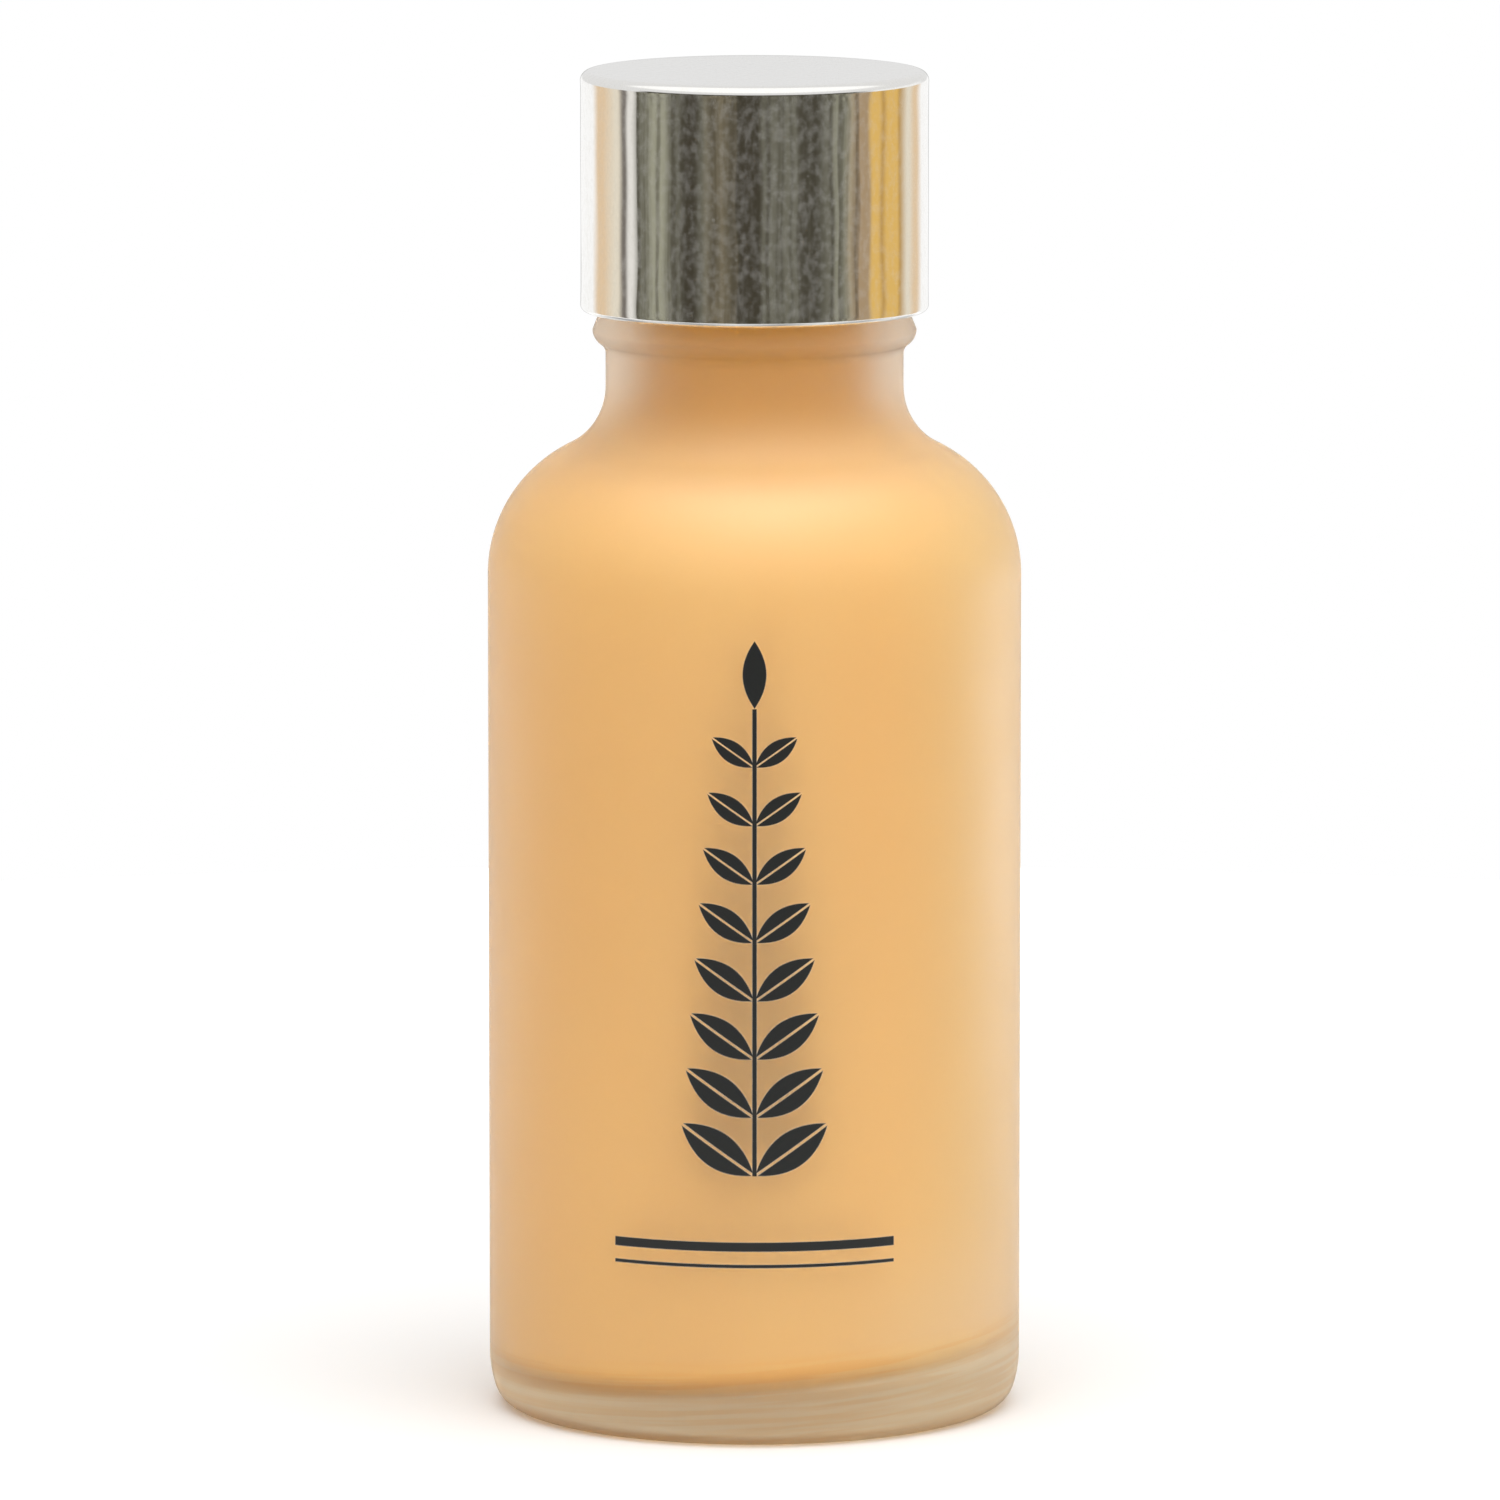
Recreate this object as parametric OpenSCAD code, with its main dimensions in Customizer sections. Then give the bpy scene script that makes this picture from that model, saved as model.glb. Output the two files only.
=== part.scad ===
// Foundation bottle: frosted glass bottle with a pouring plug and a screw cap.
// Millimetres, +Z up, origin at the centre of the foot on the standing plane.

/* [Glass body] */
// Outside diameter of the body
body_d = 33; // [30:0.5:37]
// Height at which the straight body wall ends and the shoulder begins
body_h = 52; // [40:0.1:70]
// Radius of the heel curve at the foot of the wall
heel_r = 7; // [5:0.1:10]
// Height of the heel curve above the standing plane
heel_h = 3.3; // [2.6:0.1:4.5]
// Radius of the tighter round between heel and foot
foot_edge_r = 1.6; // [0.6:0.1:2.4]
// Radius of the rounded shoulder
shoulder_r = 8.8; // [8:0.1:11]
// Thickness of the glass wall
wall_t = 2.6; // [1.8:0.1:3.2]
// Thickness of the glass floor above the push-up
floor_t = 2.4; // [2:0.1:5]
// Height of the hollow push-up under the foot
push_up_h = 0.8; // [0.3:0.1:1.5]
// Width of the flat ring that the bottle stands on
foot_ring_w = 2.4; // [1:0.1:4]
// Radius of the corner between cavity floor and wall
cavity_corner_r = 1.2; // [1:0.1:5]

/* [Neck] */
// Outside diameter of the neck below the bead
neck_d = 18.4; // [17.6:0.1:19.5]
// Length of the straight neck below the bead
neck_len = 2.5; // [1:0.1:8]
// Radius of the hollow curve from shoulder to neck
neck_fillet_r = 4.2; // [2:0.1:6]
// Radius of the curve from cavity shoulder to bore
bore_fillet_r = 8; // [3:0.1:10]
// Diameter of the bore through neck and finish
bore_d = 11; // [9.5:0.1:12]
// How far the bead stands out from the neck
bead_out = 0.8; // [0.4:0.05:1.4]
// Height of the bead
bead_h = 2.8; // [1.6:0.1:3.5]
// Inward lean of the bead's side from bottom to top
bead_lean = 0.6; // [0.1:0.05:0.8]
// Radius of the bead's lower corner
bead_corner_r = 0.7; // [0.2:0.05:0.9]

/* [Thread] */
// Diameter over the glass thread
thread_d = 17.8; // [17.2:0.1:18.4]
// Height of the thread ridges
thread_h = 0.9; // [0.6:0.05:1.1]
// Rise of the thread in one turn
thread_pitch = 3; // [2.8:0.1:3.6]
// Turns of ridge on the glass
glass_turns = 1.75; // [1.25:0.25:2]
// Turns of ridge in the cap
cap_turns = 1.5; // [1:0.25:1.75]
// Width of a ridge at its root
ridge_root_w = 1.5; // [1.1:0.1:1.7]
// Width of a ridge at its crest
ridge_crest_w = 0.6; // [0.3:0.1:0.9]
// Height of the threaded finish above the bead
finish_h = 9.9; // [9:0.1:13]
// Height from the bead to the start of the glass thread
thread_start = 1.9; // [1.2:0.1:2.6]
// Radial clearance between glass and cap threads
thread_clear = 0.15; // [0.05:0.05:0.3]
// Play between the cap's ridge and the glass ridge that holds it down
thread_play = 0.15; // [0.1:0.05:0.4]

/* [Pouring plug] */
// Thickness of the flange on the glass rim
plug_flange_t = 1; // [0.6:0.1:1.6]
// How far the flange stays inside the rim's edge
plug_flange_inset = 0.5; // [0.2:0.1:1]
// Length of the skirt in the bore
plug_len = 8; // [5:0.1:9]
// Wall of the skirt and of the pouring tube
plug_wall = 0.9; // [0.6:0.1:1.2]
// Gap between skirt and bore
plug_gap = 0.05; // [0.02:0.01:0.1]
// Bite of the sealing rings into the bore
plug_bite = 0.08; // [0.03:0.01:0.15]
// Number of sealing rings
plug_rings = 3; // [1:1:4]
// Diameter of the pouring hole
orifice_d = 2.4; // [1:0.1:3.5]
// Length of the pouring tube under the flange
tube_len = 5; // [2:0.1:7]
// Depth of the drain dish round the pouring hole
dish_depth = 0.4; // [0.1:0.05:0.5]

/* [Cap] */
// Thickness of the sealing liner
liner_t = 1.2; // [0.8:0.1:2]
// Gap round the liner in the cap
liner_gap = 0.15; // [0.05:0.05:0.4]
// Thickness of the inner cap's top
cap_top_t = 1.7; // [1:0.1:3]
// Thickness of the inner cap's wall behind the thread
cap_wall = 1; // [0.8:0.05:1.6]
// Height of the gripping ribs outside the inner cap
rib_h = 0.25; // [0.15:0.05:0.4]
// Number of gripping ribs
rib_count = 36; // [12:4:48]
// Gap between ribs and shell
rib_gap = 0.05; // [0.02:0.01:0.1]
// Thickness of the metal shell
shell_t = 0.4; // [0.25:0.05:0.45]
// Radius of the shell's top edge
shell_edge_r = 0.6; // [0.5:0.05:1.2]
// Gap between shell and bead, at the side
bead_clear = 0.25; // [0.15:0.05:0.5]
// How far the shell reaches down over the bead
shell_lap = 0.6; // [0.2:0.1:1]
// Gap between the inner cap's lower end and the bead
cap_end_gap = 0.4; // [0.2:0.1:1]

/* [Contents] */
// Height of the space left under the plug
head_space = 1; // [0.5:0.1:3.9]
// Gap between contents and glass
fill_gap = 0.1; // [0.05:0.01:0.2]

/* [Hidden] */
$fn = 96;
arc_steps = 24;
ridge_steps = 30; // steps in one turn of a thread ridge
ridge_root = 0.4; // depth to which a ridge is rooted in its wall
ridge_fade = 45; // degrees over which a ridge's end runs out
chamfer = 0.3;
rib_r = 0.35;
cut_past = 1;

// Radii of the glass
body_r = body_d / 2;
neck_r = neck_d / 2;
bore_r = bore_d / 2;
bead_r = neck_r + bead_out;
thread_r = thread_d / 2;
core_r = thread_r - thread_h;
cavity_r = body_r - wall_t;
cavity_shoulder_r = shoulder_r - wall_t;

// The foot's round runs on from the heel curve and ends on the standing plane
heel_x = body_r - heel_r;
foot_r = heel_x + sqrt(pow(heel_r - foot_edge_r, 2) - pow(heel_h - foot_edge_r, 2));
heel_turn = asin((heel_h - foot_edge_r) / (heel_r - foot_edge_r));

// The outer curves and the cavity's share the shoulder's centre
shoulder_x = body_r - shoulder_r;
neck_turn = acos(1 - (body_r - neck_r) / (shoulder_r + neck_fillet_r));
neck_z = body_h + (shoulder_r + neck_fillet_r) * sin(neck_turn);
bore_turn = acos(1 - (cavity_r - bore_r) / (cavity_shoulder_r + bore_fillet_r));
bore_z = body_h + (cavity_shoulder_r + bore_fillet_r) * sin(bore_turn);

// Heights, stacked from the foot to the cap's top
cavity_z = push_up_h + floor_t;
bead_z = neck_z + neck_len;
bead_top_z = bead_z + bead_h;
rim_z = bead_top_z + finish_h;
plug_top_z = rim_z + plug_flange_t;
ceiling_z = plug_top_z + liner_t;
inner_top_z = ceiling_z + cap_top_t;
cap_top_z = inner_top_z + shell_t;
shell_z = bead_top_z - shell_lap;
inner_z = bead_top_z + cap_end_gap;
fill_top_z = rim_z - plug_len - head_space;

// The cap's ridge runs close under the glass ridge. Their two widths, taken at one radius, and the
// play give the distance between their middles.
ridge_slope = (ridge_root_w - ridge_crest_w) / thread_h;
ridge_pair_w = 2 * ridge_root_w - (thread_h + thread_clear) * ridge_slope;
glass_ridge_z = bead_top_z + thread_start;
cap_ridge_z = glass_ridge_z + thread_pitch - ridge_pair_w / 2 - thread_play;

// Radii of the cap, which clears the thread and the bead
cap_bore_r = thread_r + thread_clear;
shell_in_r = max(cap_bore_r + cap_wall + rib_h + rib_gap, bead_r + bead_clear);
shell_r = shell_in_r + shell_t;
rib_tip_r = shell_in_r - rib_gap;
inner_cap_r = rib_tip_r - rib_h;
inner_edge_r = shell_edge_r - shell_t;
plug_flange_r = core_r - plug_flange_inset;
skirt_r = bore_r - plug_gap;
orifice_r = orifice_d / 2;

// Points on an arc, from angle a to angle b, both ends included
function arc(x, z, r, a, b) =
    [for (i = [0 : arc_steps]) let (t = a + (b - a) * i / arc_steps) [x + r * cos(t), z + r * sin(t)]];

// The cavity's outline from its floor up to height top, drawn in by gap on every side
function cavity(top, gap) = concat(
    [[0, cavity_z + gap]],
    arc(cavity_r - cavity_corner_r, cavity_z + cavity_corner_r, cavity_corner_r - gap, -90, 0),
    arc(shoulder_x, body_h, cavity_shoulder_r - gap, 0, bore_turn),
    arc(bore_r + bore_fillet_r, bore_z, bore_fillet_r + gap, 180 + bore_turn, 180),
    [[bore_r - gap, top], [0, top]]);

// The outside of the glass, from the push-up's middle to the rim
function glass_outline() = concat(
    [[0, push_up_h]],
    push_up(),
    arc(foot_r, foot_edge_r, foot_edge_r, -90, -heel_turn),
    arc(heel_x, heel_h, heel_r, -heel_turn, 0),
    arc(shoulder_x, body_h, shoulder_r, 0, neck_turn),
    arc(neck_r + neck_fillet_r, neck_z, neck_fillet_r, 180 + neck_turn, 180),
    [[neck_r, bead_z]],
    arc(bead_r - bead_corner_r, bead_z + bead_corner_r, bead_corner_r, -90, 0),
    [[bead_r - bead_lean, bead_top_z - chamfer], [bead_r - bead_lean - chamfer, bead_top_z],
     [core_r, bead_top_z], [core_r, rim_z - chamfer], [core_r - chamfer, rim_z], [0, rim_z]]);

// The push-up is a shallow dome that ends at the foot ring
push_up_w = foot_r - foot_ring_w;
push_up_r = (push_up_w * push_up_w + push_up_h * push_up_h) / (2 * push_up_h);
push_up_turn = asin(push_up_w / push_up_r);
function push_up() = [for (i = [1 : arc_steps]) let (t = push_up_turn * i / arc_steps)
    [push_up_r * sin(t), push_up_h - push_up_r * (1 - cos(t))]];

// A right-hand ridge that climbs one pitch a turn. It stands out from wall_r by thread_h, outward
// where side is 1 and inward where side is -1, and sinks into the wall at both ends.
module ridge(wall_r, side, turns, start_z) {
    steps = round(turns * ridge_steps);
    sweep = turns * 360;
    function height(a) = thread_h * min(1, a / ridge_fade, (sweep - a) / ridge_fade);
    function ring(i) = let (
        a = sweep * i / steps,
        z = start_z + thread_pitch * a / 360,
        root = wall_r - side * ridge_root,
        crest = wall_r + side * (height(a) - ridge_root * (1 - height(a) / thread_h) / 2),
        spread = ridge_root * ridge_slope / 2,
        section = [[root, ridge_root_w / 2 + spread], [root, -ridge_root_w / 2 - spread],
                   [crest, -ridge_crest_w / 2], [crest, ridge_crest_w / 2]])
        [for (p = section) [p[0] * cos(a), p[0] * sin(a), z + p[1]]];
    points = [for (i = [0 : steps]) each ring(i)];
    sides = [for (i = [0 : steps - 1], k = [0 : 3]) let (
        a = 4 * i + k, b = 4 * i + (k + 1) % 4) each [[a, b, b + 4], [a, b + 4, a + 4]]];
    last = 4 * steps;
    ends = [[2, 1, 0], [3, 2, 0], [last, last + 1, last + 2], [last, last + 2, last + 3]];
    faces = concat(sides, ends);
    polyhedron(points, side > 0 ? faces : [for (f = faces) [f[2], f[1], f[0]]]);
}

// Frosted glass bottle, with its thread and bead
module glass_bottle() {
    color([0.93, 0.86, 0.76, 0.6])
    union() {
        difference() {
            rotate_extrude() polygon(glass_outline());
            rotate_extrude() polygon(cavity(rim_z + cut_past, 0));
        }
        ridge(core_r, 1, glass_turns, glass_ridge_z);
    }
}

// Liquid foundation that fills the cavity up into the neck
module foundation_fill() {
    color([0.86, 0.64, 0.4])
    rotate_extrude() polygon(cavity(fill_top_z, fill_gap));
}

// Soft plug that narrows the bore to a pouring hole
module pouring_plug() {
    ring_step = plug_len / (plug_rings + 1);
    color([0.95, 0.95, 0.93])
    difference() {
        union() {
            translate([0, 0, rim_z]) cylinder(r = plug_flange_r, h = plug_flange_t);
            translate([0, 0, rim_z - plug_len]) cylinder(r = skirt_r, h = plug_len);
            for (i = [1 : plug_rings]) translate([0, 0, rim_z - i * ring_step]) sealing_ring();
        }
        plug_hollow();
        translate([0, 0, rim_z - plug_len - cut_past])
            cylinder(r = orifice_r, h = plug_len + plug_flange_t + 2 * cut_past);
        translate([0, 0, plug_top_z - dish_depth])
            cylinder(r1 = orifice_r, r2 = skirt_r - plug_wall, h = dish_depth);
    }
}

// Rounded ring that bites into the bore
module sealing_ring() {
    rotate_extrude() polygon([[0, -plug_wall / 2], [skirt_r, -plug_wall / 2], [bore_r + plug_bite, 0],
        [skirt_r, plug_wall / 2], [0, plug_wall / 2]]);
}

// Space inside the skirt, round the pouring tube
module plug_hollow() {
    difference() {
        translate([0, 0, rim_z - plug_len - cut_past])
            cylinder(r = skirt_r - plug_wall, h = plug_len + cut_past);
        translate([0, 0, rim_z - tube_len]) cylinder(r = orifice_r + plug_wall, h = tube_len);
    }
}

// Sealing disc between plug and cap
module cap_liner() {
    color([0.97, 0.97, 0.96])
    translate([0, 0, plug_top_z]) cylinder(r = cap_bore_r - liner_gap, h = liner_t);
}

// Threaded plastic cap inside the shell
module inner_cap() {
    color([0.9, 0.9, 0.88])
    union() {
        difference() {
            union() {
                rotate_extrude() polygon(concat([[0, inner_z], [inner_cap_r, inner_z]],
                    arc(inner_cap_r - inner_edge_r, inner_top_z - inner_edge_r, inner_edge_r, 0, 90),
                    [[0, inner_top_z]]));
                for (i = [0 : rib_count - 1]) rotate(360 * i / rib_count)
                    translate([rib_tip_r - rib_r, 0, inner_z + chamfer])
                        cylinder(r = rib_r, h = inner_top_z - inner_edge_r - inner_z - 2 * chamfer);
            }
            translate([0, 0, inner_z - cut_past]) cylinder(r = cap_bore_r, h = ceiling_z - inner_z + cut_past);
        }
        ridge(cap_bore_r, -1, cap_turns, cap_ridge_z);
    }
}

// Bright metal shell over the inner cap
module cap_shell() {
    outer_top = arc(shell_r - shell_edge_r, cap_top_z - shell_edge_r, shell_edge_r, 0, 90);
    inner_top = arc(shell_in_r - inner_edge_r, inner_top_z - inner_edge_r, inner_edge_r, 90, 0);
    lip = arc(shell_in_r + shell_t / 2, shell_z + shell_t / 2, shell_t / 2, -180, 0);
    color([0.86, 0.85, 0.82])
    rotate_extrude() polygon(concat(lip, outer_top, [[0, cap_top_z], [0, inner_top_z]], inner_top));
}

glass_bottle();
foundation_fill();
pouring_plug();
cap_liner();
inner_cap();
cap_shell();
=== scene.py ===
import math

import bpy
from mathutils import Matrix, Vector, noise


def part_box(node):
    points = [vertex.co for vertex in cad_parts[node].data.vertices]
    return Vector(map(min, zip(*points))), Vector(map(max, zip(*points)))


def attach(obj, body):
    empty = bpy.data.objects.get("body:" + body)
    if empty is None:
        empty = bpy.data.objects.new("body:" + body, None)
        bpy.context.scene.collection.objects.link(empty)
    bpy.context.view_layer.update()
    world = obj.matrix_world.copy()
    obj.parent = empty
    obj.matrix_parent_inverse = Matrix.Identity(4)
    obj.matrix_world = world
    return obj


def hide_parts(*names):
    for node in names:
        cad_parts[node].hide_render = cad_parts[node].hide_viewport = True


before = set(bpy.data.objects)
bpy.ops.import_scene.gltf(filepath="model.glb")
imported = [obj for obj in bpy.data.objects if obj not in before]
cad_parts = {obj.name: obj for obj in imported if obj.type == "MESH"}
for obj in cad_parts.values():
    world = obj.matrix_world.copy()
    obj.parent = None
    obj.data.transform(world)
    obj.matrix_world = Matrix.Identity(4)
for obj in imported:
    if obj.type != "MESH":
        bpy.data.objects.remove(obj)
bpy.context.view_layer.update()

# Sizes are in millimetres, and meshes are made in metres
MM = 0.001


def span(node):
    """Radius, foot and top of a round CAD node, in millimetres."""
    low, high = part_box(node)
    return high.x / MM, low.z / MM, high.z / MM


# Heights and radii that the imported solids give
BODY_R, _, RIM_Z = span("glass_bottle")
CAVITY_R, FLOOR_Z, FILL_TOP_Z = span("foundation_fill")
SHELL_R, SHELL_Z, CAP_TOP_Z = span("cap_shell")

# Glass, outside
HEEL_R = 7.0
HEEL_H = 3.3
FOOT_EDGE_R = 1.6
FOOT_RING_W = 2.4
PUSH_UP_H = 0.8
BODY_H = 52.0
SHOULDER_R = 8.8
NECK_R = 9.2
NECK_FILLET_R = 4.2
FINISH_H = 9.9
BEAD_H = 2.8
BEAD_STAND = 0.8
BEAD_R = NECK_R + BEAD_STAND
BEAD_TOP_Z = RIM_Z - FINISH_H
BEAD_Z = BEAD_TOP_Z - BEAD_H
BEAD_CORNER_R = 1.0
BEAD_LEAN = 0.6
BEAD_BLEND_R = 0.8
CORE_R = 8.0
SMALL_EDGE = 0.3

# Glass, inside
WALL_T = 2.6
BORE_R = 5.5
BORE_FILLET_R = 8.0
CAVITY_CORNER_R = 1.2
FLOOR_SLOPE = math.tan(math.radians(3.8))
TIPPED_UP = (-FLOOR_SLOPE, 0.0, 1.0)
SLOPE_FADE_H = 14.0
# The solid fill stands off the glass by this much, and the cavity floor lies that much lower
FILL_GAP = BODY_R - WALL_T - CAVITY_R
CAVITY_FLOOR_Z = FLOOR_Z - FILL_GAP

# Thread on the neck
THREAD_H = 0.9
THREAD_PITCH = 3.0
THREAD_TURNS = 1.75
THREAD_START_H = 1.9
THREAD_Z = BEAD_TOP_Z + THREAD_START_H
THREAD_ROOT_W = 1.5
THREAD_CREST_W = 0.6
THREAD_FADE = math.radians(45)
THREAD_ROW = 0.12

# Print on the front: a leaf sprig over a double rule, with its leaves in pairs up the stem
SPRIG_Z = 17.0
LEAF_PAIRS = 8
LEAF_STEP = 3.6
LEAF_LEN = 5.6
LEAF_HALF_W = 1.15
LEAF_TILT = math.radians(55)
LEAF_TAPER = 0.06
LEAF_VEIN = (0.04, 0.1)
TIP_LEN = 4.2
TIP_HALF_W = 0.75
STEM_HALF_W = 0.17
RULE_HALF_LEN = 9.0
RULES = ((12.6, 0.32), (11.4, 0.14))
INK_EDGE = 0.06

# The liquid wets the glass, so its skin lies just inside the glass wall and its surface climbs at its rim
WET = 0.04
CLIMB_H = 0.25
CLIMB_R = 0.8 * BORE_R

# Metal shell of the cap, with faint waves in its wall
SHELL_T = 0.4
SHELL_EDGE_R = 0.6
LIP_R = 0.34
WAVE_H = 0.035
WAVE_FADE_H = 1.5
WAVES_ROUND = 6.5
WAVES_UP = 0.2

# Fineness of the meshes, and the angle from which an edge is sharp
STEPS = 240
ARC_STEPS = 18
SAME_PLACE = 1e-5
SHARP_EDGE = math.radians(40)

# Colours, as linear light
GLASS_CLEAR = (0.99, 0.95, 0.88, 1.0)
# Painted light in the thick base: warm as a painted reflection of the liquid, pale in painted streaks and
# ends, and painted shade at the foot
GLASS_PAINTED_WARM = (0.91, 0.73, 0.45, 1.0)
GLASS_PAINTED_PALE = (1.0, 0.94, 0.73, 1.0)
GLASS_FOOT_SHADE = (0.74, 0.58, 0.36, 1.0)
CREAM_DEEP = (0.93, 0.56, 0.165, 1.0)
CREAM_PALE = (0.95, 0.59, 0.185, 1.0)
# Painted light on the liquid: shade in the neck, sheen on the right side and low on the right, shade along
# the cavity's floor
CREAM_NECK_SHADE = (0.79, 0.405, 0.06, 1.0)
CREAM_SIDE_SHEEN = (0.86, 0.58, 0.205, 1.0)
CREAM_LOW_SHEEN = (0.92, 0.63, 0.29, 1.0)
CREAM_EDGE_SHADE = (0.66, 0.39, 0.15, 1.0)
INK = (0.004, 0.005, 0.004, 1.0)
METAL = (0.93, 0.92, 0.90, 1.0)
DUST = (0.60, 0.58, 0.45, 1.0)
PLUG_TONE = (0.84, 0.84, 0.81, 1.0)
PLUG_SHADE = (0.79, 0.79, 0.75, 1.0)
CAP_TONE = (0.78, 0.78, 0.76, 1.0)
CAP_SHADE = (0.73, 0.73, 0.70, 1.0)
# Foam: painted shade makes the bubbles' pits darker
FOAM_PIT_SHADE = (0.72, 0.72, 0.72, 1.0)
FOAM_HIGH = (0.86, 0.86, 0.86, 1.0)

# In the finishes below, scales are in features per metre and places in millimetres. A pair of numbers is a
# range that a value eases through, and a bump is its strength and its height

# Most values of a noise lie in this range
MIDDLE = (0.3, 0.7)

# Frosted glass: its frost, and the painted light of its thick base: a warm painted reflection of the
# liquid, pale streaks painted for its refraction lines, painted paler ends and a foot darkened with painted
# shade
GLASS_IOR = 1.5
GLASS_SHARE = 0.94
FROST_SCALE = 7000.0
FROST_ROUGH = 0.04
FROST_BUMP = (0.12, 0.02)
CLOUD_SCALE = 160.0
CLOUD_ROUGH = (0.45, 0.49)
NECK_FROST_Z = (56.5, 62.0)
NECK_FROST_ROUGH = 0.16
BASE_Z = (6.0, 4.2)
# The base is painted paler towards both ends, as painted light
BASE_END_X = (5.0, 14.0)
BASE_END_SHARE = 0.25
# Pale streaks in the base: painted light for the lines that refraction draws in the thick glass
LIGHT_LINE_RUN = (0.0375, 0.01875, 0.0)
LIGHT_LINE_SCALE = 1840.0
LIGHT_LINE_RANGE = (0.4, 0.58)
LIGHT_LINE_SHARE = 0.75
FOOT_SHADE_Z = (1.5, 0.5)

# Liquid: pigment swirls, and painted light: painted shade in the neck under the cap, a painted sheen on the
# right side and low on the right, and a dark line of painted shade along the floor of the cavity
CREAM_ROUGH = 0.4
SWIRL_SCALE = 110.0
SWIRL_STRETCH = 0.35
CREAM_NECK_SHADE_Z = (58.8, 63.6)
CREAM_SIDE_SHEEN_X = (7.0, 13.8)
CREAM_LOW_SHEEN_X = (2.0, 13.0)
CREAM_LOW_SHEEN_H = (11.0, 1.0)
EDGE_START_H = (0.1, 0.4)
EDGE_END_H = (1.1, 0.5)
EDGE_FADE_X = (-2.0, 11.0)
EDGE_FADE_SHARE = 0.25

# Bright metal: rub marks, haze, and two sizes of specks by scale, radius in a cell and share of the cells
RUB_SCALE = 2600.0
RUB_STRETCH = 0.12
RUB_RANGE = (0.35, 0.75)
RUB_ROUGH = (0.03, 0.06)
HAZE_SCALE = 2300.0
HAZE_STRETCH = 0.7
HAZE_RANGE = (0.36, 0.74)
HAZE_SHARE = 0.1
FINE_SPECKS = (800.0, 0.14, 0.12)
FINE_SHARE = 0.1
LARGE_SPECKS = (330.0, 0.06, 0.1)
LARGE_SHARE = 0.2
DUST_ROUGH = 0.5

# Moulded plastic and foam
FLOW_SCALE = 240.0
FLOW_STRETCH = 0.3
MOULD_SCALE = 5000.0
MOULD_ROUGH = (0.34, 0.46)
MOULD_BUMP = (0.15, 0.02)
FOAM_SCALE = 3200.0
FOAM_STRETCH = 0.6
FOAM_CELL = (0.0, 0.6)
FOAM_ROUGH = 0.75
FOAM_BUMP = (0.4, 0.06)

# Camera
CAMERA_PLACE = (0, -846.19, 162.99)
CAMERA_TARGET = (-0.28, 0, 40.92)
CAMERA_LENS = 331.0
CAMERA_SENSOR = 36.0

# Soft light that falls on the object, by its bearing in degrees from the front, and the key overhead
SOFT_LIGHT = (
    (-180, 0.52), (-90, 0.50), (-40, 0.46), (0, 0.53), (40, 0.66), (70, 0.58), (100, 0.48), (180, 0.52))
KEY_LIGHT = 2.6
KEY_PLACE = (0.1, -0.38, 0.92)
KEY_EDGE = (0.55, 0.98)

# Soft boxes that only show as gloss on the frosted glass: place, aim, width, height and brightness
SOFT_BOXES = {
    "right_box": ((132.0, 70.0, 24.0), (0.0, 0.0, 24.0), 95.0, 48.0, 3.2),
    "left_box": ((-132.0, 70.0, 24.0), (0.0, 0.0, 24.0), 95.0, 48.0, 1.1),
    "top_box": ((30.0, -30.0, 500.0), (0.0, 0.0, 60.0), 420.0, 420.0, 5.0),
}

# Cards that bright surfaces mirror, by their bearing in degrees from the front: those beside and behind the
# object, those of the dim room in front of it, and those of the lower sky
WHITE = (1.0, 1.0, 1.0, 1.0)
PALE = (0.80, 0.73, 0.60, 1.0)
TAN = (0.78, 0.59, 0.39, 1.0)
GOLD = (0.75, 0.48, 0.14, 1.0)
AMBER = (0.5, 0.3, 0.09, 1.0)
ROSE = (0.40, 0.29, 0.175, 1.0)
SAGE = (0.35, 0.345, 0.26, 1.0)
OLIVE = (0.16, 0.155, 0.12, 1.0)
BROWN = (0.21, 0.18, 0.12, 1.0)
DARK = (0.085, 0.08, 0.06, 1.0)
BLACK = (0.057, 0.05, 0.035, 1.0)
SLATE = (0.57, 0.57, 0.56, 1.0)
GLINT = (0.80, 0.78, 0.74, 1.0)
SHADE = (0.19, 0.17, 0.15, 1.0)
LAMP = (0.95, 0.95, 0.95, 1.0)
BACK = (0.78, 0.78, 0.78, 1.0)
SIDE_CARDS = (
    (-180, SLATE), (-172, SLATE), (-169, WHITE), (-136, WHITE), (-127, TAN), (-119, TAN),
    (-107, PALE), (-103, PALE), (-98, SHADE), (-95, SHADE), (-92, GLINT), (-88, GLINT),
    (-83, OLIVE), (73, ROSE), (82, ROSE), (85, GOLD), (91, GOLD), (94, AMBER), (98, GOLD),
    (109, GOLD), (112, AMBER), (122, PALE), (125, PALE), (132, TAN), (136, TAN),
    (145, WHITE), (169, WHITE), (172, SLATE))
FRONT_CARDS = (
    (-84, OLIVE), (-70, SAGE), (-64, SAGE), (-51, OLIVE), (-47, BLACK), (-40, BLACK),
    (-36, OLIVE), (-27, BROWN), (-13, BROWN), (-11, BLACK), (3, BLACK), (6, OLIVE),
    (29, OLIVE), (34, DARK), (43, DARK), (49, OLIVE), (62, SAGE), (72, ROSE))
UPPER_CARDS = (
    (-180, BACK), (-85, BACK), (-75, BLACK), (68, BLACK), (88, LAMP), (135, LAMP), (152, BACK), (180, BACK))

# The front room reaches this far to both sides of its middle, in radians, and has faint upright streaks
FRONT_MIDDLE = -0.1
FRONT_HALF = math.radians(79)
STREAKS_ROUND = 90.0
STREAKS_UP = 6.0
STREAK_RANGE = (0.32, 0.68)
STREAK_SHARE = 0.75

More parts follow.
